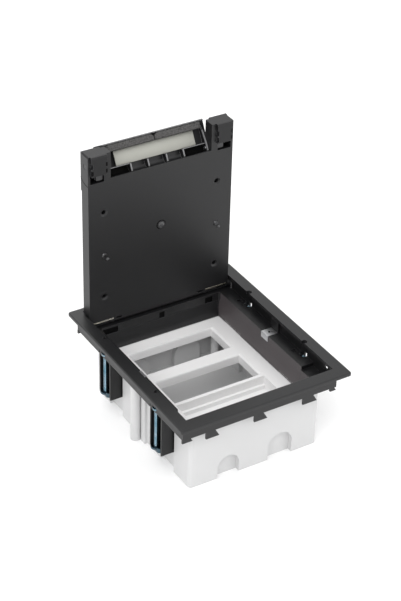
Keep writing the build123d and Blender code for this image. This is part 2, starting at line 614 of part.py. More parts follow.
# Lid tray: flat inner panel, rim all round and ribs on the outer side
lid_mid_z = (lid_bottom + lid_top) / 2
lid_height = lid_top - lid_bottom
stiffener_y = lid_outer_y - carpet_recess
with BuildPart() as lid_tray:
    with BuildSketch(lid_plane(0)):
        with Locations((0, lid_mid_z)):
            RectangleRounded(2 * lid_half_width, lid_height, lid_corner)
    extrude(amount=-lid_thick)
    fillet(lid_tray.edges().filter_by(Axis.X).group_by(Axis.Z)[0].sort_by(Axis.Y)[-1], lid_heel_round)
    with BuildSketch(lid_plane(lid_panel)):
        with Locations((0, lid_mid_z)):
            Rectangle(2 * (lid_half_width - lid_wall), lid_height - 2 * lid_wall)
    extrude(amount=-lid_thick + lid_panel, mode=Mode.SUBTRACT)
    with BuildSketch(Plane.YZ):
        with Locations((lid_inner_y, lid_bottom)):
            Rectangle(lid_toe_round, lid_toe_round, align=(Align.MIN, Align.MIN))
        with Locations((lid_inner_y + lid_toe_round, lid_bottom + lid_toe_round)):
            Circle(lid_toe_round, mode=Mode.SUBTRACT)
    extrude(amount=lid_half_width, both=True, mode=Mode.SUBTRACT)
    # Grid of ribs that carries the steel plate
    rib_height = stiffener_y - stiffener_thick - lid_inner_y - lid_panel
    panel_top = pivot_z - knuckle_radius - 8
    with BuildSketch(lid_plane(lid_panel)):
        for x in (-60, -30, 0, 30, 60):
            with Locations((x, (lid_bottom + panel_top) / 2)):
                Rectangle(1.8, panel_top - lid_bottom - 2 * lid_wall)
        for z in (top + 20, top + 60, top + 100, top + 140):
            with Locations((0, z)):
                Rectangle(2 * (lid_half_width - lid_wall), 1.8)
    extrude(amount=-rib_height)
    # Wall that closes the tray above the plate, below the cable cut-out
    with BuildSketch(lid_plane(lid_panel)):
        with Locations((0, panel_top + 4)):
            Rectangle(2 * (lid_half_width - lid_wall), 16)
    extrude(amount=-lid_thick + lid_panel)
    # Ledge blocks beside the cut-out
    with BuildSketch(lid_plane(0)):
        with Locations((0, (panel_top + lid_top) / 2)):
            Rectangle(2 * (latch_inner + lid_wall), lid_top - panel_top)
    extrude(amount=-lid_thick)
    # Skin over the latch corners on the outer side
    with BuildSketch(lid_plane(lid_thick - corner_skin)):
        for side in sides.values():
            with Locations((side * (latch_inner + lid_half_width) / 2, (panel_top + lid_top) / 2)):
                Rectangle(lid_half_width - latch_inner - 0.1, lid_top - panel_top - 0.1)
    extrude(amount=-corner_skin)
    # Cable cut-out: narrow through the panel, wider where the flap's shell lies
    with BuildSketch(lid_plane(0)):
        with Locations((0, pivot_z)):
            Rectangle(2 * ledge_half_width, lid_height, align=(Align.CENTER, Align.MIN))
    extrude(amount=-lid_thick, mode=Mode.SUBTRACT)
    with BuildSketch(lid_plane(lid_thick - flap_thick - slide_clearance)):
        with Locations((0, pivot_z)):
            Rectangle(2 * (flap_half_width + flap_gap), lid_height, align=(Align.CENTER, Align.MIN))
    extrude(amount=-lid_thick, mode=Mode.SUBTRACT)
    with BuildSketch(Plane.YZ):
        with Locations((pivot_y, pivot_z)):
            Circle(knuckle_radius + slide_clearance)
    extrude(amount=ledge_half_width, both=True, mode=Mode.SUBTRACT)
    # Room for the latch bolts behind the corner blocks, and their way out
    for side in sides.values():
        with BuildSketch(lid_plane(bolt_depth - bolt_thick / 2 - slide_clearance)):
            with Locations((side * (latch_inner + lid_wall), recess_bottom)):
                Rectangle(
                    lid_half_width - latch_inner - 2 * lid_wall,
                    bolt_z + bolt_height - recess_bottom,
                    align=(Align.MIN if side > 0 else Align.MAX, Align.MIN),
                )
        extrude(amount=-bolt_thick - 2 * slide_clearance, mode=Mode.SUBTRACT)
        with BuildSketch(Plane.YZ.offset(side * (lid_half_width - lid_wall - 1))):
            with Locations((lid_inner_y + bolt_depth, bolt_z)):
                Rectangle(bolt_thick + 2 * slide_clearance, bolt_height + 2 * slide_clearance)
        extrude(amount=side * (lid_wall + 2), mode=Mode.SUBTRACT)
        # Recess below the corner block that shows the bolt's key
        with BuildSketch(lid_plane(0)):
            with Locations((side * (latch_inner + lid_wall + latch_outer) / 2, (recess_bottom + block_bottom) / 2)):
                Rectangle(latch_outer - latch_inner - lid_wall, block_bottom - recess_bottom)
        extrude(amount=-bolt_depth + bolt_thick / 2 + slide_clearance, mode=Mode.SUBTRACT)
        # Window that shows the hinge pin, and the pin's lug
        with BuildSketch(lid_plane(0)):
            with Locations((side * (66 + lid_half_width - lid_wall) / 2, hinge_z)):
                Rectangle(lid_half_width - lid_wall - 66, 6)
        extrude(amount=-lid_panel, mode=Mode.SUBTRACT)
        with BuildSketch(Plane.YZ.offset(side * (hinge_pin_start - 1.5))):
            with Locations((lid_inner_y + lid_panel / 2, lid_bottom)):
                Rectangle(lid_thick - carpet_recess - stiffener_thick - lid_panel / 2, 12, align=(Align.MIN, Align.MIN))
        extrude(amount=side * 4)
        with BuildSketch(Plane.YZ.offset(side * hinge_pin_start)):
            with Locations((hinge_y, hinge_z)):
                Circle(hinge_pin_radius + pin_press_clearance)
        extrude(amount=side * lid_half_width, mode=Mode.SUBTRACT)
        with BuildSketch(lid_plane(0)):
            with Locations((side * 55, lid_bottom + 5.4)):
                Rectangle(7.7, 2.6)
        extrude(amount=-lid_panel, mode=Mode.SUBTRACT)
    # Screw bosses: four deep in dished holes, two flush at mid height
    for x in (-lid_screw_x, lid_screw_x):
        for z in lid_screw_rows:
            with BuildSketch(lid_plane(lid_panel)):
                with Locations((x, z)):
                    Circle(5.5)
            extrude(amount=-rib_height)
            with BuildSketch(lid_plane(0)):
                with Locations((x, z)):
                    Circle(2.4)
            extrude(amount=-rib_height - lid_panel, mode=Mode.SUBTRACT)
    for x in (-lid_screw_x, lid_screw_x):
        for z in (lid_screw_rows[0], lid_screw_rows[2]):
            with BuildSketch(lid_plane(0)):
                with Locations((x, z)):
                    Circle(4.5)
            with BuildSketch(lid_plane(1.4)):
                with Locations((x, z)):
                    Circle(2.4)
            loft(mode=Mode.SUBTRACT)
    # Round centre button
    with BuildSketch(lid_plane(0)):
        with Locations((0, top + lid_button_height)):
            Circle(5)
    extrude(amount=0.8)
    # Cross pins' bores for the flap
    with BuildSketch(Plane.YZ):
        with Locations((pivot_y, pivot_z)):
            Circle(flap_pin_radius)
    extrude(amount=flap_half_width + flap_gap + 2, both=True, mode=Mode.SUBTRACT)
save(lid_tray, "lid_tray")

# Latch blocks: caps that stand out of the lid's inner face, with slots at their sides
for side_name, side in sides.items():
    with BuildPart() as latch_block:
        block_mid = (latch_inner + latch_outer) / 2
        block_height = latch_block_height
        with BuildSketch(lid_plane(0)):
            with Locations((side * block_mid, lid_top - block_height / 2)):
                Rectangle(latch_outer - latch_inner, block_height)
        extrude(amount=latch_block_rise)
        chamfer(latch_block.edges().filter_by(Axis.X).group_by(Axis.Y)[0].sort_by(Axis.Z)[-1], 1.2)
        with BuildSketch(lid_plane(-latch_block_rise)):
            for z in (lid_top - block_height + 4.5, lid_top - block_height + 13):
                with Locations((side * latch_inner, z), (side * latch_outer, z)):
                    Rectangle(3.6, 6)
        extrude(amount=-latch_block_rise + 1, mode=Mode.SUBTRACT)
    save(latch_block, f"latch_block_{side_name}")

    with BuildPart() as latch_bolt:
        bolt_start = latch_inner + lid_wall + slide_clearance
        bolt_end = lid_half_width - 0.4
        key_bottom = recess_bottom + 1.5
        key_height = bolt_z + bolt_height / 2 - recess_bottom - 1.5
        with BuildSketch(lid_plane(bolt_depth - bolt_thick / 2)):
            with Locations((side * (bolt_start + bolt_end) / 2, bolt_z)):
                Rectangle(bolt_end - bolt_start, bolt_height)
            with Locations((side * (bolt_start + key_width / 2), key_bottom + key_height / 2)):
                Rectangle(key_width, key_height)
        extrude(amount=-bolt_thick)
        with BuildSketch(lid_plane(bolt_depth - bolt_thick / 2)):
            with Locations((side * (bolt_start + key_width / 2), key_bottom + key_grip / 2)):
                RectangleRounded(key_width - 1, key_grip, 1)
        extrude(amount=3)
    save(latch_bolt, f"latch_bolt_{side_name}")

    with BuildPart() as hinge_pin:
        with BuildSketch(Plane.YZ.offset(side * hinge_pin_start)):
            with Locations((hinge_y, hinge_z)):
                Circle(hinge_pin_radius)
        extrude(amount=side * (tray_half_width + tray_wall - 0.4 - hinge_pin_start))
        chamfer(hinge_pin.edges().filter_by(GeomType.CIRCLE), 0.4)
    save(hinge_pin, f"hinge_pin_{side_name}")

# Stiffening plate in the lid's outer recess, and its screws
plate_bottom = lid_bottom + lid_wall + 0.3
with BuildPart() as lid_stiffening_plate:
    with BuildSketch(Plane.XZ.offset(-(stiffener_y - stiffener_thick))):
        with Locations((0, (plate_bottom + panel_top - 4.3) / 2)):
            RectangleRounded(2 * (lid_half_width - lid_wall - 0.3), panel_top - 4.3 - plate_bottom, 2)
    extrude(amount=-stiffener_thick)
save(lid_stiffening_plate, "lid_stiffening_plate")

with BuildPart() as lid_plate_screws:
    for x in (-lid_screw_x, lid_screw_x):
        for z, sunk in zip(lid_screw_rows, (6.0, 0.0, 6.0)):
            with BuildSketch(lid_plane(sunk)):
                with Locations((x, z)):
                    Circle(2.3)
            extrude(amount=-(lid_panel + rib_height - sunk - 0.05))
    for x in (-lid_screw_x, lid_screw_x):
        with BuildSketch(lid_plane(-0.05)):
            with Locations((x, lid_screw_rows[1])):
                Circle(3.4)
        with BuildSketch(lid_plane(-1.6)):
            with Locations((x, lid_screw_rows[1])):
                Circle(2.2)
        loft()
save(lid_plate_screws, "lid_plate_screws")

# Cable flap: outer shell with a rounded knuckle, cheeks and ribs
shell_length = lid_top - pivot_z - 0.3
cheek_outer = ledge_half_width - 0.4
with BuildPart() as flap_shell:
    with BuildSketch(flap_section):
        with Locations((knuckle_radius - flap_thick / 2, shell_length / 2)):
            Rectangle(flap_thick, shell_length)
    extrude(amount=cheek_outer, both=True)
    with BuildSketch(flap_section):
        with Locations((knuckle_radius - flap_thick / 2, (shell_length + flap_wing_start) / 2)):
            Rectangle(flap_thick, shell_length - flap_wing_start)
    extrude(amount=flap_half_width, both=True)
    with BuildSketch(flap_section):
        Circle(knuckle_radius)
        Circle(knuckle_radius - flap_thick, mode=Mode.SUBTRACT)
        Rectangle(4 * knuckle_radius, 2 * knuckle_radius, align=(Align.CENTER, Align.MIN), mode=Mode.SUBTRACT)
        Rectangle(2 * knuckle_radius, 4 * knuckle_radius, align=(Align.MAX, Align.CENTER), mode=Mode.SUBTRACT)
    extrude(amount=cheek_outer, both=True)
    # Four ribs behind the infill plate
    for x in (-35, -13, 11, 33):
        with BuildSketch(flap_section.offset(x - rib_thick / 2)):
            with BuildLine():
                rib_back = Line((knuckle_radius - 1, flap_plate_start + flap_plate_height), (knuckle_radius - 1, 0))
                knuckle_line = RadiusArc(rib_back @ 1, (0, -knuckle_radius + 1), knuckle_radius - 1)
                Polyline(
                    knuckle_line @ 1,
                    (-rib_nose, -rib_nose),
                    (-rib_nose, flap_plate_start - 1),
                    (flap_plate_thick / 2, flap_plate_start - 0.5),
                    (flap_plate_thick / 2, flap_plate_start + flap_plate_height),
                    rib_back @ 0,
                )
            make_face()
        extrude(amount=rib_thick)
    # Cheeks at both ends with the pivot bores
    for x in (cheek_outer - cheek_thick, -cheek_outer):
        with BuildSketch(flap_section.offset(x)):
            with BuildLine():
                cheek_back = Line((knuckle_radius - 1, shell_length - 2), (knuckle_radius - 1, 0))
                knuckle_line = RadiusArc(cheek_back @ 1, (0, -knuckle_radius + 1), knuckle_radius - 1)
                Polyline(
                    knuckle_line @ 1,
                    (-rib_nose, -rib_nose),
                    (-rib_nose, flap_plate_start - 1),
                    (0, shell_length - 12),
                    cheek_back @ 0,
                )
            make_face()
            Circle(flap_pin_radius + running_clearance, mode=Mode.SUBTRACT)
        extrude(amount=cheek_thick)
save(flap_shell, "flap_shell")
with BuildPart() as flap_infill_plate:
    with BuildSketch(flap_section):
        with Locations((0, flap_plate_start + flap_plate_height / 2)):
            Rectangle(flap_plate_thick, flap_plate_height)
    extrude(amount=flap_plate_half_width, both=True)
save(flap_infill_plate, "flap_infill_plate")

for side_name, side in sides.items():
    with BuildPart() as foam_seal:
        foam_bottom = flap_plate_start + flap_plate_height + 0.3
        with BuildSketch(flap_section.offset(side * foam_gap / 2)):
            with Locations((knuckle_radius - flap_thick - foam_depth / 2, foam_bottom + foam_height / 2)):
                Rectangle(foam_depth, foam_height)
        extrude(amount=side * (foam_half_width - foam_gap / 2))
    save(foam_seal, f"foam_seal_{side_name}")

with BuildPart() as flap_hinge_pins:
    for side in sides.values():
        with BuildSketch(Plane.YZ.offset(side * (cheek_outer - 3))):
            with Locations((pivot_y, pivot_z)):
                Circle(flap_pin_radius)
        extrude(amount=side * (flap_half_width + flap_gap + 2 - cheek_outer + 3))
save(flap_hinge_pins, "flap_hinge_pins")
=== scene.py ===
"""Looks of the floor socket box: finishes for every moulded and metal piece, threads, foam, trim and light.

Metres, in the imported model's own frame: X along the front edge, +Y to the hinge side, +Z up.
"""

import json
import math

import bpy
import numpy as np
from mathutils import Matrix, Vector


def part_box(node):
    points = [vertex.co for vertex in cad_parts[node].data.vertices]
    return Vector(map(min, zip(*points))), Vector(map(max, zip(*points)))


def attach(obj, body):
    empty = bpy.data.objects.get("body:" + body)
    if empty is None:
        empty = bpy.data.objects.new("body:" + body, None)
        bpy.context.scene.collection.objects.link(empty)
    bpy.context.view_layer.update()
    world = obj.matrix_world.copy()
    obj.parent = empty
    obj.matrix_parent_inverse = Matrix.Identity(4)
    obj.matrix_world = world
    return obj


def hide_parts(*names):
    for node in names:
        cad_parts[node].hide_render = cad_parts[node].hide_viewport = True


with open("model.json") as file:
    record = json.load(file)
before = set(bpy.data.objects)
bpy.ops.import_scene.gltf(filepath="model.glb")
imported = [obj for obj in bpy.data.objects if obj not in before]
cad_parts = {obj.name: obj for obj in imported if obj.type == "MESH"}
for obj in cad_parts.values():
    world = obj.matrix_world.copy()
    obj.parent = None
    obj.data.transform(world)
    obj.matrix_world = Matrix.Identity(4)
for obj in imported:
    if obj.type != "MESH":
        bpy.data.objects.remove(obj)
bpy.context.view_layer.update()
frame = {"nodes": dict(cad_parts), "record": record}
nodes = frame["nodes"]
behaviour = frame["record"]["behaviour"]
mm = 0.001
sides = ((-1, "left"), (1, "right"))

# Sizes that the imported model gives
bezel_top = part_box("cover_frame")[1].z
lid_half_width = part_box("lid_tray")[1].x
lid_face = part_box("latch_block_left")[1].y      # the plane that the latch caps stand on
clamp_places = [name.removeprefix("jack_screw_") for name in nodes if name.startswith("jack_screw_")]

# Camera, fitted to the corners of the bezel and the lid in the photograph
camera_azimuth = math.radians(-31.968)
camera_elevation = math.radians(33.665)
camera_roll = math.radians(1.537)
camera_eye = Vector((-0.875292, -1.386497, 1.147996 + bezel_top))
camera_lens = 105.53
camera_sensor = 36.0

# Jack screws: thread, pan head and cross recess
thread_pitch = 0.8 * mm
thread_depth = 0.42 * mm
thread_columns = 36
thread_rows_per_pitch = 5
thread_lead_in = 1.5 * mm
head_height = 3.0 * mm
head_rings = 16
head_fall = 0.9 * mm
recess_arm = 2.3 * mm
recess_half_width = 0.62 * mm
recess_border = 0.25 * mm
recess_depth = 1.5 * mm

# Foam strips
foam_rows = 150
foam_columns = 56
foam_roughness = 0.09
foam_notch = 2.6 * mm           # reach of the rounded notch between the two strips
foam_notch_depth = 0.75

# Columns round a moulded strip and round a dome
band_columns = 28
dome_columns = 40

# Flap trim in millimetres, in the flap's own directions: along X, out of the shell, up from its pivot
flap_tip = 32.7
flap_lip_height = 1.0
rib_places = (-35, -13, 11, 33)
rib_front = -3.1
cheek_place = 63.9
end_bays = {"left": (-36.0, -62.6), "right": (34.0, 62.6)}
bay_radius = 4.7
ledge_rise = 5.3

# Lid trim in millimetres
cap_joint_curve = ((122.6, 285.6), (120.5, 283.2), (117.0, 281.0), (112.5, 279.7), (105.8, 279.4))
cap_joint_proud = 0.02
cap_rise = 4.2
cap_slot_proud = 0.03
cap_slot_places = (72.3, 89.6)
cap_slot_levels = (297.2, 305.4)
cap_slot_reach = 2.4
rod_ends = (62.5, 92.4)
rod_sink = 0.48
rod_level = 95.3
button_level = 99.6             # above the bezel
bumper_step = 4.0               # sideways from the middle screw
bumper_drop = 5.6               # down from the middle screw
screw_to_edge = 3.4             # from a middle screw's axis to the end of the screws' box
bumper_profile = [(2.1, -0.3), (2.1, 0.2), (1.9, 0.9), (1.4, 1.4), (0.8, 1.7), (0.05, 1.8)]
button_profile = [(3.9, -0.2), (3.9, 0.6), (3.5, 1.1), (2.6, 1.4), (1.4, 1.55), (0.05, 1.6)]
ring_profile = [(6.0, -0.2), (6.0, 0.05), (5.6, 0.08), (0.05, 0.08)]

# Well trim in millimetres; the lining slopes run from the carrier's edge up the wall
lining_gap = 0.16
lining_half_thick = 0.12
side_slope = ((77.8, 57.1), (78.0, 62.2), (79.4, 69.0), (81.05, 78.5))
side_wall_face = 81.22
side_linings = (("front", -102.2, -73.7, 82.4), ("rear", -73.7, 102.2, 87.2))
end_slope = ((98.1, 57.1), (98.4, 62.2), (100.2, 68.0), (102.75, 76.4))
end_lining_reach = 77.6
tray_wall_middle = 99.0
window_places = (("rear", 63.0), ("front", -54.3))
window_reach = 5.5
hood_level = 94.6
jamb_level = 87.8
wall_slots = ((-69.0, 22.0), (1.0, 7.4), (66.0, 11.0))      # middle along X, width
wall_slot_back = 103.9
wall_slot_level = 81.0
clip_hole_place = 87.0
clip_hole_ends = (1.4, 3.8)
clip_hole_level = 87.43


def make_camera():
    """A long lens at the photograph's angle; roll turns it about its own line of sight."""
    data = bpy.data.cameras.new("camera")
    data.sensor_width = camera_sensor
    data.lens = camera_lens
    data.clip_start = 0.01
    data.clip_end = 50.0
    camera = bpy.data.objects.new("camera", data)
    bpy.context.scene.collection.objects.link(camera)
    a, e, r = camera_azimuth, camera_elevation, camera_roll
    right = Vector((math.cos(a), math.sin(a), 0))
    forward = Vector((-math.sin(a) * math.cos(e), math.cos(a) * math.cos(e), -math.sin(e)))
    up = right.cross(forward)
    rolled_right = math.cos(r) * right + math.sin(r) * up
    rolled_up = -math.sin(r) * right + math.cos(r) * up
    turn = Matrix((rolled_right, rolled_up, -forward)).transposed().to_4x4()
    camera.matrix_world = Matrix.Translation(camera_eye) @ turn
    bpy.context.scene.camera = camera


make_camera()


# Shader helpers


def socket_group(name, inputs, outputs):
    """An empty shader node group with named float inputs and outputs: {name: default} and {name: kind}."""
    group = bpy.data.node_groups.new(name, "ShaderNodeTree")
    for label, default in inputs.items():
        socket = group.interface.new_socket(label, in_out="INPUT", socket_type="NodeSocketFloat")
        socket.default_value = default
    for label, kind in outputs.items():
        group.interface.new_socket(label, in_out="OUTPUT", socket_type=kind)
    entry = group.nodes.new("NodeGroupInput")
    leave = group.nodes.new("NodeGroupOutput")
    return group, entry, leave


def place(tree, kind, **settings):
    """A node of that kind with its properties set."""
    node = tree.nodes.new(kind)
    for label, value in settings.items():
        setattr(node, label, value)
    return node


def feed(tree, value, socket):
    """Put a number or a colour on a socket, or link another socket to it."""
    if isinstance(value, bpy.types.NodeSocket):
        tree.links.new(value, socket)
    else:
        socket.default_value = value


def math_node(tree, operation, first, second=0.0, clamp=False):
    """A Math node; each input is a socket to link or a number."""
    node = place(tree, "ShaderNodeMath", operation=operation, use_clamp=clamp)
    feed(tree, first, node.inputs[0])
    feed(tree, second, node.inputs[1])
    return node.outputs[0]


def blend_colours(tree, share, first, second):
    """A colour between two, by a share from 0 to 1."""
    node = place(tree, "ShaderNodeMix", data_type="RGBA")
    feed(tree, share, node.inputs["Factor"])
    feed(tree, first, node.inputs["A"])
    feed(tree, second, node.inputs["B"])
    return node.outputs["Result"]


def scaled_colour(tree, colour, factor):
    """A fixed colour multiplied by a factor that changes over the surface."""
    node = place(tree, "ShaderNodeVectorMath", operation="SCALE")
    node.inputs[0].default_value = colour
    tree.links.new(factor, node.inputs["Scale"])
    return node.outputs[0]


def object_coordinates(tree):
    """The piece's own coordinates."""
    return place(tree, "ShaderNodeTexCoord").outputs["Object"]


def noise(tree, scale, detail, vector):
    """Noise on object coordinates at a scale in cells per metre."""
    node = place(tree, "ShaderNodeTexNoise")
    node.inputs["Detail"].default_value = detail
    tree.links.new(vector, node.inputs["Vector"])
    feed(tree, scale, node.inputs["Scale"])
    return node.outputs["Fac"]


def make_moulded_grain():
    """Spark-eroded mould texture: fine cells for the height, and slow clouds for tone and gloss.

    Height is the fine noise plus a share of a coarser one; tone swings about 1 with the clouds and a speckle.
    """
    coarse_ratio, coarse_share, speckle_share, tone_swing = 0.22, 0.6, 0.25, 2.0
    inputs = {"Cells per metre": 2200.0, "Cloud per metre": 14.0, "Cloud depth": 0.08, "Gloss spread": 0.08}
    outputs = {"Height": "NodeSocketFloat", "Tone": "NodeSocketFloat", "Roughness shift": "NodeSocketFloat"}
    group, entry, leave = socket_group("moulded grain", inputs, outputs)
    coordinates = object_coordinates(group)
    cells = entry.outputs["Cells per metre"]
    fine = noise(group, cells, 3.0, coordinates)
    coarse = noise(group, math_node(group, "MULTIPLY", cells, coarse_ratio), 2.0, coordinates)
    cloud = noise(group, entry.outputs["Cloud per metre"], 4.0, coordinates)
    height = math_node(group, "ADD", fine, math_node(group, "MULTIPLY", coarse, coarse_share))
    centred = math_node(group, "SUBTRACT", cloud, 0.5)
    speckle = math_node(group, "MULTIPLY", math_node(group, "SUBTRACT", fine, 0.5), speckle_share)
    mixed = math_node(group, "ADD", centred, speckle)
    tone = math_node(group, "MULTIPLY", mixed, entry.outputs["Cloud depth"])
    group.links.new(height, leave.inputs["Height"])
    swing = math_node(group, "MULTIPLY", tone, tone_swing)
    group.links.new(math_node(group, "ADD", swing, 1.0), leave.inputs["Tone"])
    shift = math_node(group, "MULTIPLY", centred, entry.outputs["Gloss spread"])
    group.links.new(shift, leave.inputs["Roughness shift"])
    return group


def make_edge_wear_and_highlight():
    """Edges are where a rounded copy of the surface turns away from the real one; noise breaks them up. The
    pale edges it marks stand for wear and for painted highlight lines along rounded edges.
    """
    turn_gain, least_break = 6.0, 0.35
    inputs = {"Edge width": 0.0008, "Amount": 1.0, "Breaks per metre": 260.0}
    group, entry, leave = socket_group("edge wear and painted highlight", inputs, {"Mask": "NodeSocketFloat"})
    rounded = place(group, "ShaderNodeBevel", samples=4)
    group.links.new(entry.outputs["Edge width"], rounded.inputs["Radius"])
    sharp = place(group, "ShaderNodeNewGeometry")
    facing = place(group, "ShaderNodeVectorMath", operation="DOT_PRODUCT")
    group.links.new(rounded.outputs["Normal"], facing.inputs[0])
    group.links.new(sharp.outputs["Normal"], facing.inputs[1])
    away = math_node(group, "SUBTRACT", 1.0, facing.outputs["Value"])
    turned = math_node(group, "MULTIPLY", away, turn_gain, clamp=True)
    coordinates = object_coordinates(group)
    breaks = noise(group, entry.outputs["Breaks per metre"], 4.0, coordinates)
    broken = math_node(group, "MULTIPLY", turned, math_node(group, "ADD", breaks, least_break))
    mask = math_node(group, "MULTIPLY", broken, entry.outputs["Amount"], clamp=True)
    group.links.new(mask, leave.inputs["Mask"])
    return group


grain = make_moulded_grain()
edge_wear_and_highlight = make_edge_wear_and_highlight()
edge_width = 0.0007
edge_polish = 0.12
grain_relief = 0.0002
streak_relief = 0.00005
foam_relief = 0.0006


def new_material(name):
    """A material with its Principled shader."""
    material = bpy.data.materials.new(name)
    material.use_nodes = True
    return material, material.node_tree, material.node_tree.nodes["Principled BSDF"]


def edge_mask(tree, width, amount):
    """The edge wear and painted highlight group with its own width and amount."""
    node = place(tree, "ShaderNodeGroup", node_tree=edge_wear_and_highlight)
    node.inputs["Edge width"].default_value = width
    node.inputs["Amount"].default_value = amount
    return node.outputs["Mask"]


def raise_relief(tree, shader, height, strength, distance):
    """Bump from a height."""
    relief = place(tree, "ShaderNodeBump")
    relief.inputs["Strength"].default_value = strength
    relief.inputs["Distance"].default_value = distance
    tree.links.new(height, relief.inputs["Height"])
    tree.links.new(relief.outputs["Normal"], shader.inputs["Normal"])


def inside_box(tree, low, high):
    """1 inside a box given in millimetres and 0 outside it: the product of two comparisons on each axis."""
    axes = place(tree, "ShaderNodeSeparateXYZ")
    tree.links.new(object_coordinates(tree), axes.inputs[0])
    share = 1.0
    for axis, lowest, highest in zip(axes.outputs, low, high):
        above = math_node(tree, "GREATER_THAN", axis, lowest * mm)
        below = math_node(tree, "LESS_THAN", axis, highest * mm)
        share = math_node(tree, "MULTIPLY", math_node(tree, "MULTIPLY", above, below), share)
    return share


def moulded(name, colour, wear_and_highlight_colour, roughness, cells=2200.0, bump=0.25, depth=0.08, spread=0.08, specular=0.5,
            wear_and_highlight_amount=0.6, painted_shade_region=None):
    """Injection-moulded plastic: grained height, colour that drifts a little, gloss that varies, paler edges
    for wear and painted highlight.

    A painted shade region (low corner, high corner, colour) gives part of the piece a second, darker colour as
    painted shade.
    """
    material, tree, shader = new_material(name)
    texture = place(tree, "ShaderNodeGroup", node_tree=grain)
    texture.inputs["Cells per metre"].default_value = cells
    texture.inputs["Cloud depth"].default_value = depth
    texture.inputs["Gloss spread"].default_value = spread
    body_colour = scaled_colour(tree, colour, texture.outputs["Tone"])
    # Painted shade: inside the region's box the body colour gives way to a darker colour
    if painted_shade_region:
        low, high, second = painted_shade_region
        body_colour = blend_colours(tree, inside_box(tree, low, high), body_colour, (*second, 1.0))
    edges = edge_mask(tree, edge_width, wear_and_highlight_amount)
    tree.links.new(blend_colours(tree, edges, body_colour, (*wear_and_highlight_colour, 1.0)), shader.inputs["Base Color"])
    rough = math_node(tree, "ADD", texture.outputs["Roughness shift"], roughness)
    polish = math_node(tree, "MULTIPLY", edges, edge_polish)
    tree.links.new(math_node(tree, "SUBTRACT", rough, polish), shader.inputs["Roughness"])
    raise_relief(tree, shader, texture.outputs["Height"], bump, grain_relief)
    shader.inputs["Specular IOR Level"].default_value = specular
    return material


def metal(name, colour, second, roughness, streaks, spread, bump):
    """Plated or rolled steel: two tints that drift in clouds, gloss that varies along fine streaks."""
    cloud_cells, drift_start, drift_gain, streak_squeeze = 70.0, 0.3, 2.2, 0.12
    material, tree, shader = new_material(name)
    coordinates = object_coordinates(tree)
    stretch = place(tree, "ShaderNodeMapping")
    stretch.inputs["Scale"].default_value = (1.0, streak_squeeze, streak_squeeze)
    tree.links.new(coordinates, stretch.inputs["Vector"])
    lines = noise(tree, streaks, 4.0, stretch.outputs["Vector"])
    clouds = noise(tree, cloud_cells, 3.0, coordinates)
    past_start = math_node(tree, "SUBTRACT", clouds, drift_start)
    drift = math_node(tree, "MULTIPLY", past_start, drift_gain, clamp=True)
    tree.links.new(blend_colours(tree, drift, (*colour, 1.0), (*second, 1.0)), shader.inputs["Base Color"])
    rough = math_node(tree, "ADD", math_node(tree, "MULTIPLY", lines, spread), roughness - spread / 2)
    tree.links.new(rough, shader.inputs["Roughness"])
    raise_relief(tree, shader, lines, bump, streak_relief)
    shader.inputs["Metallic"].default_value = 1.0
    return material


def open_cell_foam():
    """Grey foam: pores from a cell texture darken the surface and sink into it, with dust noise on top."""
    pore_cells, dust_cells, pore_depth, dust_share = 950.0, 500.0, 1.1, 0.9
    material, tree, shader = new_material("grey foam")
    coordinates = object_coordinates(tree)
    cells = place(tree, "ShaderNodeTexVoronoi")
    cells.inputs["Scale"].default_value = pore_cells
    tree.links.new(coordinates, cells.inputs["Vector"])
    dust = noise(tree, dust_cells, 5.0, coordinates)
    pore = math_node(tree, "MULTIPLY", cells.outputs["Distance"], pore_depth)
    dusty = math_node(tree, "MULTIPLY", dust, dust_share)
    tone = math_node(tree, "ADD", dusty, math_node(tree, "SUBTRACT", pore_depth, pore))
    tree.links.new(scaled_colour(tree, (0.085, 0.083, 0.082), tone), shader.inputs["Base Color"])
    shader.inputs["Roughness"].default_value = 0.95
    shader.inputs["Specular IOR Level"].default_value = 0.2
    raise_relief(tree, shader, tone, 0.8, foam_relief)
    return material


# Finishes: moulded(name, colour, edge colour for wear and painted highlight, roughness) and metal(name, colour,
# second colour, roughness)
# Edge colours: wear, and painted highlight lines along rounded edges
worn_and_highlight_black = (0.060, 0.060, 0.064)
rubbed_and_highlight_black = (0.24, 0.24, 0.245)
# Painted shade: the front trough of the white carrier is coloured darker where the deep well lets in less light
trough_painted_shade = ((-78.0, -98.0, 30.0), (56.0, -54.0, 56.3), (0.25, 0.24, 0.225))
# The cover frame's strong pale edges are painted highlight lines along the bezel as well as wear
graphite = moulded("graphite plastic", (0.0075, 0.0075, 0.0082), worn_and_highlight_black, 0.40, cells=1900.0, bump=0.22,
                   depth=0.10, specular=0.5, wear_and_highlight_amount=0.9)
# Painted light: the well's side linings take a lighter, warmer graphite that stands in for bounce light from
# the white carrier
well_painted_light_graphite = moulded("well wall graphite with painted bounce light", (0.078, 0.068, 0.071), worn_and_highlight_black, 0.45, bump=0.2,
                        depth=0.12)
# Near-black: the lid's cap joint lines, and painted shade on sheets put in slots, holes, end bays and round the
# lid button
joint_and_painted_shade_black = moulded("joint black and painted recess shade", (0.0015, 0.0015, 0.0015), (0.004, 0.004, 0.004), 0.7,
                       specular=0.08)
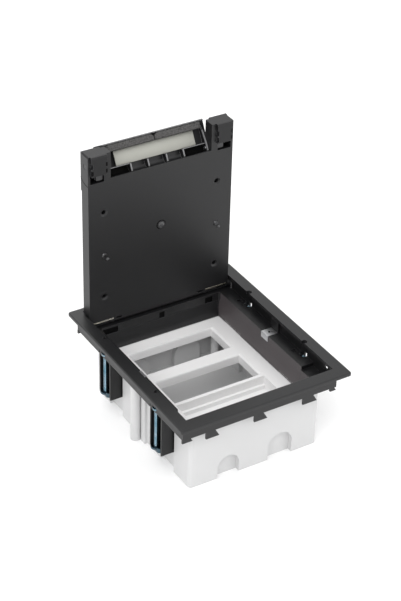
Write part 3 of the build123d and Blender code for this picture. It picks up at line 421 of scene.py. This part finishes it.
# Pale grey for the flap's rib, cheek and ledge fronts: rubbed wear and painted highlight lines
rubbed_and_highlight_grey = moulded("rubbed rib plastic with painted highlight", (0.20, 0.20, 0.205), (0.34, 0.34, 0.34), 0.4, bump=0.1,
                      specular=0.4)
lid_graphite = moulded("lid graphite plastic", (0.0085, 0.0085, 0.0092), worn_and_highlight_black, 0.42, cells=1500.0,
                       bump=0.18, depth=0.16, specular=0.46, wear_and_highlight_amount=0.7)
flap_graphite = moulded("flap graphite plastic", (0.010, 0.010, 0.011), rubbed_and_highlight_black, 0.42, cells=1500.0,
                        bump=0.18, depth=0.14, specular=0.46, wear_and_highlight_amount=1.3)
# Painted highlight: the bumpers and the lid button take a light grey that stands in for the highlight on their
# polished domes
painted_highlight_graphite = moulded("polished graphite plastic with painted highlight", (0.05, 0.05, 0.052), rubbed_and_highlight_black, 0.22, cells=1500.0,
                          bump=0.05, depth=0.10, specular=0.6, wear_and_highlight_amount=0.6)
cap_graphite = moulded("latch cap graphite plastic", (0.0075, 0.0075, 0.0082), worn_and_highlight_black, 0.42, cells=1500.0,
                       bump=0.18, depth=0.16, specular=0.36, wear_and_highlight_amount=1.2)
black = moulded("black housing plastic", (0.006, 0.006, 0.0065), (0.04, 0.04, 0.042), 0.42, cells=1900.0,
                bump=0.25, specular=0.45, wear_and_highlight_amount=0.8)
key_grey = moulded("grey key plastic", (0.05, 0.05, 0.052), (0.16, 0.16, 0.16), 0.45, bump=0.15)
light_grey = moulded("light grey tub plastic", (0.62, 0.62, 0.622), (0.74, 0.74, 0.74), 0.42, cells=1500.0,
                     bump=0.10, depth=0.03, wear_and_highlight_amount=0.5)
white = moulded("white carrier plastic", (0.86, 0.855, 0.855), (0.92, 0.92, 0.92), 0.34, cells=1200.0,
                bump=0.05, depth=0.02, wear_and_highlight_amount=0.5, painted_shade_region=trough_painted_shade)
beige = moulded("beige grey plate plastic", (0.36, 0.36, 0.325), (0.46, 0.46, 0.42), 0.5, cells=2600.0,
                bump=0.35, depth=0.10, specular=0.3)
foam = open_cell_foam()
zinc = metal("blue zinc plating", (0.28, 0.36, 0.42), (0.04, 0.17, 0.24), 0.20, 900.0, 0.10, 0.04)
dark_zinc = metal("dark zinc plating", (0.10, 0.13, 0.15), (0.03, 0.08, 0.11), 0.26, 900.0, 0.10, 0.04)
steel = metal("bright spring steel", (0.78, 0.78, 0.79), (0.66, 0.67, 0.69), 0.34, 120.0, 0.06, 0.0)
sheet_steel = metal("galvanised sheet steel", (0.30, 0.31, 0.32), (0.22, 0.225, 0.235), 0.42, 300.0,
                    0.10, 0.02)
yellow_zinc = metal("yellow zinc pin", (0.50, 0.46, 0.34), (0.72, 0.70, 0.64), 0.22, 900.0, 0.12, 0.04)
dark_screw = metal("black oxide screw", (0.05, 0.05, 0.052), (0.09, 0.09, 0.092), 0.3, 900.0, 0.14, 0.05)

finishes = {
    "cover_frame": graphite,
    "lid_tray": lid_graphite,
    "latch_block": cap_graphite,
    "flap_shell": flap_graphite,
    "clamp_housing": black,
    "latch_bolt": key_grey,
    "mounting_box": light_grey,
    "device_carrier": white,
    "flap_infill_plate": beige,
    "foam_seal": foam,
    "jack_screw": zinc,
    "clamp_nut": dark_zinc,
    "clamp_claw": dark_zinc,
    "spring_clip": steel,
    "lid_stiffening_plate": sheet_steel,
    "lid_plate_screws": dark_screw,
    "flap_hinge_pins": steel,
    "hinge_pin": yellow_zinc,
}
edge_softness = {"cover_frame": 0.35, "mounting_box": 0.5, "device_carrier": 0.5, "lid_tray": 0.4}
fine_softness = 0.2
edge_angle = math.radians(38)


def finish_of(name):
    """The finish whose key starts the node's name."""
    return next(material for key, material in finishes.items() if name.startswith(key))


def dress_nodes():
    """Every node gets its finish and softly rounded edges."""
    for name, node in nodes.items():
        node.data.materials.clear()
        node.data.materials.append(finish_of(name))
        weld = node.modifiers.new("weld", "WELD")
        weld.merge_threshold = 0.00001
        bevel = node.modifiers.new("soft edges", "BEVEL")
        bevel.width = edge_softness.get(name, fine_softness) * mm
        bevel.segments = 2
        bevel.limit_method = "ANGLE"
        bevel.angle_limit = edge_angle
        bevel.harden_normals = False


dress_nodes()


# Pieces worked out as surfaces


def node_points(name):
    """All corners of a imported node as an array."""
    mesh = nodes[name].data
    points = np.empty(3 * len(mesh.vertices))
    mesh.vertices.foreach_get("co", points)
    return points.reshape(-1, 3)


def grid_piece(name, points, material, replaced):
    """A mesh from a grid of points, rows along the piece and columns round it.

    Columns close on themselves, the first and last rows are each closed by one face, and the faces are turned
    outwards if the volume enclosed comes out negative. A replaced node's body carries the piece.
    """
    rows, columns = points.shape[:2]
    row, column = np.meshgrid(np.arange(rows - 1), np.arange(columns), indexing="ij")
    after = (column + 1) % columns
    lower, upper = row * columns, (row + 1) * columns
    quads = np.stack([lower + column, lower + after, upper + after, upper + column], axis=-1).reshape(-1, 4)
    flat = points.reshape(-1, 3)
    corner = flat[quads]
    enclosed = np.einsum("ij,ij->", np.cross(corner[:, 0], corner[:, 1]), corner[:, 2])
    enclosed += np.einsum("ij,ij->", np.cross(corner[:, 0], corner[:, 2]), corner[:, 3])
    faces = quads.tolist() + [list(range(columns))[::-1], list(range((rows - 1) * columns, rows * columns))]
    if enclosed < 0:
        faces = [face[::-1] for face in faces]
    mesh = bpy.data.meshes.new(name)
    mesh.from_pydata(flat.tolist(), [], faces)
    mesh.shade_smooth()
    mesh.materials.append(material)
    piece = bpy.data.objects.new(name, mesh)
    bpy.context.scene.collection.objects.link(piece)
    if replaced:
        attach(piece, body_of(replaced))
        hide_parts(replaced)
    return piece


def body_of(node_name):
    """The body that carries a node in the record."""
    return next(body for body, carried in behaviour["bodies"].items() if node_name in carried)


def round_turn(columns):
    """Angles of one full turn, as one row."""
    return np.linspace(0, 2 * np.pi, columns, endpoint=False)[None, :]


def recess_share(x, y):
    """Cross recess: 1 inside either arm, falling to 0 over a soft border.

    An arm is a band cut at its length.
    """

    def within(limit, distance):
        return np.clip((limit - np.abs(distance)) / recess_border, 0, 1)

    along_x = within(recess_half_width, y) * within(recess_arm, x)
    along_y = within(recess_half_width, x) * within(recess_arm, y)
    return np.maximum(along_x, along_y)


def threaded_screw(name):
    """Jack screw with a pan head: radius is the root plus a V of the height in pitches less the angle in turns.

    The head's top falls with the 2.5th power of the radius, and the cross recess is taken off its height.
    """
    points = node_points(name)
    low, high = points.min(axis=0), points.max(axis=0)
    centre = (low + high)[:2] / 2
    head_radius = (high[0] - low[0]) / 2
    below_head = points[points[:, 2] < high[2] - 1.2 * head_height]
    shank_radius = np.hypot(*(below_head[:, :2] - centre).T).max()
    turn = round_turn(thread_columns)
    seat = high[2] - head_height
    height = np.arange(low[2], seat, thread_pitch / thread_rows_per_pitch)[:, None]
    turns = height / thread_pitch - turn / (2 * np.pi)
    ridge = 1 - np.abs(2 * (turns - np.floor(turns)) - 1)
    fade = np.clip((height - low[2]) / thread_lead_in, 0, 1) ** 0.5
    shank = (shank_radius - thread_depth * (1 - ridge)) * (0.55 + 0.45 * fade)
    across = np.linspace(1, 0.02, head_rings)[:, None] * head_radius
    flange = np.array([[0.97, 0.0], [1.0, 0.25], [1.0, 1.9]])
    dome = seat + head_height - head_fall * (across / head_radius) ** 2.5
    recess = recess_share(across * np.cos(turn), across * np.sin(turn))

    def all_round(column):
        return np.repeat(column, thread_columns, axis=1)

    radius = np.concatenate([shank, all_round(flange[:, :1] * head_radius), all_round(across)])
    top = dome - recess_depth * recess
    level = np.concatenate([all_round(height), all_round(seat + flange[:, 1:] * mm), top])
    grid = np.stack([centre[0] + radius * np.cos(turn), centre[1] + radius * np.sin(turn), level], axis=-1)
    grid_piece(f"threaded_{name}", grid, zinc, name)


def flap_axes():
    """The open flap's pivot and its directions out of the shell and up along it, from the flap hinge."""
    joint = next(j for j in behaviour["joints"] if j["name"] == "flap_hinge")
    lean = math.radians(joint["range_deg"][1])
    pivot = np.array(joint["pos_m"])
    outwards = np.array([0, math.cos(lean), -math.sin(lean)])
    upwards = np.array([0, math.sin(lean), math.cos(lean)])
    return pivot, outwards, upwards


def foam_strip(name, seed):
    """Foam strip: a super-ellipse section carried along X, drawn in at both ends, with a rough cut skin.

    The section's corner power is 2/7, the ends follow a super-ellipse of power 24 along the strip, and a
    smoothed random field moves the skin inwards. Beside the other strip the upper half falls away in a bell
    curve.
    """
    pivot, outwards, upwards = flap_axes()
    points = node_points(name) - pivot
    depth = points @ outwards
    rise = points @ upwards
    along = np.linspace(-1, 1, foam_rows)[:, None]
    turn = round_turn(foam_columns)
    end_share = (1 - np.abs(along) ** 24) ** (1 / 24) * 0.999 + 0.001
    rough = np.random.default_rng(seed).uniform(0, 1, (foam_rows, foam_columns))
    rough = (
        rough + np.roll(rough, 1, 0) + np.roll(rough, -1, 0) + np.roll(rough, 1, 1) + np.roll(rough, -1, 1)
    ) / 5
    pull = 1 - foam_roughness * rough

    def rounded(wave):
        return np.sign(wave) * np.abs(wave) ** (2 / 7) * end_share * pull

    def middle_and_reach(lowest, highest):
        return (highest + lowest) / 2, (highest - lowest) / 2

    middle_x, reach_x = middle_and_reach(points[:, 0].min(), points[:, 0].max())
    middle_out, reach_out = middle_and_reach(depth.min(), depth.max())
    middle_up, reach_up = middle_and_reach(rise.min(), rise.max() - flap_lip_height * mm)
    from_inner_end = np.abs(middle_x + reach_x * along)
    notch = 1 - foam_notch_depth * np.exp(-((from_inner_end / foam_notch) ** 2)) * (np.sin(turn) > 0)
    section_out = middle_out + reach_out * rounded(np.cos(turn))
    section_up = middle_up + reach_up * rounded(np.sin(turn)) * notch
    grid = pivot + section_out[..., None] * outwards + section_up[..., None] * upwards
    grid[..., 0] = middle_x + reach_x * along
    piece = grid_piece(f"soft_{name}", grid, foam, name)


def band(name, path, across, half_width, half_thick, material, body):
    """A moulded strip: a super-ellipse section of power 12 carried along a path of points in metres.

    The section's width lies along one fixed direction, and its thickness along the path's tangent crossed
    with it. Both halves are in millimetres.
    """
    line = np.array(path, dtype=float)
    across = np.array(across, dtype=float)
    normal = np.cross(np.gradient(line, axis=0), across)
    normal /= np.linalg.norm(normal, axis=1)[:, None]
    turn = round_turn(band_columns)[0]

    def squared(wave):
        return (np.sign(wave) * np.abs(wave) ** (1 / 6))[:, None]

    wide = half_width * mm * squared(np.cos(turn))
    thick = half_thick * mm * squared(np.sin(turn))
    grid = line[:, None] + wide * across + thick * normal[:, None]
    piece = grid_piece(name, grid, material, None)
    piece.data.set_sharp_from_angle(angle=edge_angle)
    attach(piece, body)


def in_metres(path):
    """A path of points in millimetres, in metres."""
    return np.array(path, dtype=float) * mm


def make_flap_trim():
    """Strips on the open flap: end lip; rib and cheek fronts and ledges under the plate in pale grey for rubbed
    wear and painted highlight; end bays as dark sheets of painted shade.
    """
    pivot, outwards, upwards = flap_axes()

    def on_flap(x, out, up):
        return pivot * (0, 1, 1) + np.array([x, 0, 0]) * mm + out * mm * outwards + up * mm * upwards

    def flap_band(name, path, across, half_width, half_thick, material):
        corners = [on_flap(*point) for point in path]
        band(name, corners, across, half_width, half_thick, material, "cable_flap")

    sideways = (1, 0, 0)
    lip_up = flap_tip - flap_lip_height / 2
    lip = [(x, -0.8, lip_up) for x in (-64.6, 64.6)]
    flap_band("flap_end_lip", lip, outwards, 6.2, 0.45, flap_graphite)
    # Rib, cheek and ledge fronts are pale strips for rubbed wear and painted highlight lines
    for number, x in enumerate(rib_places, start=1):
        front = [(x, rib_front, up) for up in (-3.2, 1.0, 5.2)]
        flap_band(f"flap_rib_front_{number}", front, sideways, 0.8, 0.25, rubbed_and_highlight_grey)
    for sign, side_name in sides:
        x = sign * cheek_place
        front = [(x, rib_front, -3.4), (x, rib_front, 0.5), (x, -3.0, 4.6), (x, -1.6, 12.0), (x, -0.2, 20.4)]
        flap_band(f"flap_cheek_front_{side_name}", front, sideways, 0.9, 0.25, rubbed_and_highlight_grey)
        inner, outer = end_bays[side_name]
        ledge = [(inner, -1.0, ledge_rise), (outer, -1.0, ledge_rise)]
        flap_band(f"flap_ledge_{side_name}", ledge, outwards, 1.2, 0.35, rubbed_and_highlight_grey)
        middle, reach = (inner + outer) / 2, abs(outer - inner) / 2
        arc = np.radians(np.linspace(0, -85, 9))
        bay = [(middle, bay_radius, 4.8), (middle, bay_radius, 2.4)]
        bay += [(middle, bay_radius * np.cos(angle), bay_radius * np.sin(angle)) for angle in arc]
        # The end bays are dark sheets of painted shade
        flap_band(f"flap_end_bay_{side_name}", bay, sideways, reach, 0.12, joint_and_painted_shade_black)


def make_lid_trim():
    """Joint lines of the latch caps on the lid's sides, slots beside the caps drawn as dark strips of painted
    shade, and bright hinge rods.
    """
    face = lid_face / mm
    sideways = (1, 0, 0)
    for sign, side_name in sides:
        x = sign * (lid_half_width / mm + cap_joint_proud)
        joint_line = in_metres([(x, y, z) for y, z in cap_joint_curve])
        band(f"latch_cap_joint_{side_name}", joint_line, sideways, 0.05, 0.5, joint_and_painted_shade_black, "lid")
        front = face - cap_rise - cap_slot_proud
        low_x, high_x = sorted(sign * place_x for place_x in cap_slot_places)
        marks = [(high_x, level) for level in cap_slot_levels]
        if sign < 0:
            marks.insert(0, (low_x, cap_slot_levels[0]))
        for number, (at, level) in enumerate(marks, start=1):
            ends = in_metres([(at, front, level - cap_slot_reach), (at, front, level + cap_slot_reach)])
            # The cap slots are dark strips of painted shade
            band(f"latch_cap_slot_{side_name}_{number}", ends, sideways, 0.9, 0.06, joint_and_painted_shade_black, "lid")
        rod = in_metres([(sign * at, face + rod_sink, rod_level) for at in rod_ends])
        band(f"hinge_rod_{side_name}", rod, (0, 1, 0), 0.7, 0.9, yellow_zinc, "lid")


def make_well_trim():
    """Sloping linings round the carrier, the side ones lighter with painted bounce light; dark sheets of
    painted shade behind the wall slots and for the clip holes; screw window hoods.
    """
    root = body_of("cover_frame")
    lengthwise, sideways, upright = (0, 1, 0), (1, 0, 0), (0, 0, 1)

    def strip(name, path, across, half_width, half_thick, material):
        band(name, in_metres(path), across, half_width, half_thick, material, root)

    for sign, side_name in sides:
        for part_name, low_y, high_y, lining_top in side_linings:
            middle, reach = (low_y + high_y) / 2, (high_y - low_y) / 2
            slope = [(sign * (x + lining_gap), middle, z) for x, z in side_slope]
            slope.append((sign * side_wall_face, middle, lining_top))
            name = f"well_lining_{side_name}_{part_name}"
            # The side linings carry painted bounce light in their lighter colour
            strip(name, slope, lengthwise, reach, lining_half_thick, well_painted_light_graphite)
        wall = sign * tray_wall_middle
        for place_name, y in window_places:
            hood = [(wall, y - window_reach, hood_level), (wall, y + window_reach, hood_level)]
            strip(f"window_hood_{place_name}_{side_name}", hood, upright, 3.8, 0.9, graphite)
            jamb = [(wall, y - 0.6, jamb_level), (wall, y + window_reach, jamb_level)]
            strip(f"window_jamb_{place_name}_{side_name}", jamb, upright, 3.2, 0.9, graphite)
    for sign, end_name in ((-1, "front"), (1, "rear")):
        slope = [(0, sign * y, z) for y, z in end_slope]
        strip(f"well_lining_{end_name}", slope, sideways, end_lining_reach, lining_half_thick, graphite)
    for number, (x, width) in enumerate(wall_slots, start=1):
        ends = (x - width / 2, x + width / 2)
        back = [(end, wall_slot_back, wall_slot_level) for end in ends]
        # Painted shade: a dark sheet behind each wall slot
        strip(f"slot_back_{number}", back, upright, 4.1, 0.25, joint_and_painted_shade_black)
    for sign, side_name in sides:
        hole = [(sign * clip_hole_place, y, clip_hole_level) for y in clip_hole_ends]
        # Painted shade: a dark sheet stands for each clip hole
        strip(f"clip_hole_{side_name}", hole, sideways, 1.2, 0.04, joint_and_painted_shade_black)


def lid_dome(name, x, z, profile, material):
    """Round moulding on the lid's inner face: a profile of (radius, rise) turned about an axis across it.

    The profile runs from its foot to its middle, in millimetres.
    """
    steps = np.array(profile) * mm
    turn = round_turn(dome_columns)
    radius, rise = steps[:, :1], steps[:, 1:]
    out = np.repeat(lid_face - rise, dome_columns, axis=1)
    grid = np.stack([x + radius * np.cos(turn), out, z + radius * np.sin(turn)], axis=-1)
    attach(grid_piece(name, grid, material, None), "lid")


def make_lid_domes():
    """A bumper beside each middle screw, and a button in the lid's middle, both lighter grey for painted
    highlight; the button sits on a dark ring of painted shade.
    """
    screw_low, screw_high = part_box("lid_plate_screws")
    screw_middle = (screw_low.z + screw_high.z) / 2
    screw_side = (screw_high.x - screw_low.x) / 2 - screw_to_edge * mm
    bumper_z = screw_middle - bumper_drop * mm
    for sign, side_name in sides:
        bumper_x = sign * screw_side + bumper_step * mm
        # Bumpers are lighter grey as painted highlight
        lid_dome(f"lid_rest_bumper_{side_name}", bumper_x, bumper_z, bumper_profile, painted_highlight_graphite)
    button_z = bezel_top + button_level * mm
    # Painted shade: the dark ring round the button
    lid_dome("lid_button_ring", 0.0, button_z, ring_profile, joint_and_painted_shade_black)
    # The button is lighter grey as painted highlight
    lid_dome("lid_centre_button", 0.0, button_z, button_profile, painted_highlight_graphite)


make_lid_domes()
for clamp_place in clamp_places:
    threaded_screw(f"jack_screw_{clamp_place}")
for strip_seed, strip_side in enumerate(("left", "right")):
    foam_strip(f"foam_seal_{strip_side}", strip_seed)
make_flap_trim()
make_lid_trim()
make_well_trim()


# Stage and light


def make_stage():
    """A pale floor that runs far past the picture."""
    mesh = bpy.data.meshes.new("floor")
    reach = 6.0
    corners = [(-reach, -reach, 0), (reach, -reach, 0), (reach, reach, 0), (-reach, reach, 0)]
    mesh.from_pydata(corners, [], [(0, 1, 2, 3)])
    floor = bpy.data.objects.new("floor", mesh)
    bpy.context.scene.collection.objects.link(floor)
    material, _, shader = new_material("pale floor")
    shader.inputs["Base Color"].default_value = (0.9, 0.9, 0.9, 1)
    shader.inputs["Roughness"].default_value = 0.9
    shader.inputs["Emission Color"].default_value = (1, 1, 1, 1)
    shader.inputs["Emission Strength"].default_value = 0.12
    mesh.materials.append(material)


def softbox(name, place_at, power, size=2.2, aim=(0, 0, 0.1)):
    """A square area light that faces the aim point."""
    data = bpy.data.lights.new(name, "AREA")
    data.shape = "SQUARE"
    data.size = size
    data.energy = power
    light = bpy.data.objects.new(name, data)
    light.location = place_at
    direction = Vector(aim) - Vector(place_at)
    light.rotation_euler = direction.to_track_quat("-Z", "Y").to_euler()
    bpy.context.scene.collection.objects.link(light)


def make_light():
    """Even studio light: large boxes from above left, from the right and behind, and a bright surround."""
    softbox("key", (-1.6, -1.2, 2.4), 44.0)
    softbox("fill", (1.9, -1.6, 1.8), 16.0)
    softbox("back", (0.2, 2.2, 2.2), 18.0)
    world = bpy.data.worlds.new("surround")
    world.use_nodes = True
    sky = world.node_tree.nodes["Background"]
    sky.inputs["Color"].default_value = (1, 1, 1, 1)
    sky.inputs["Strength"].default_value = 0.86
    bpy.context.scene.world = world


make_stage()
make_light()
bpy.context.scene.view_settings.view_transform = "Standard"
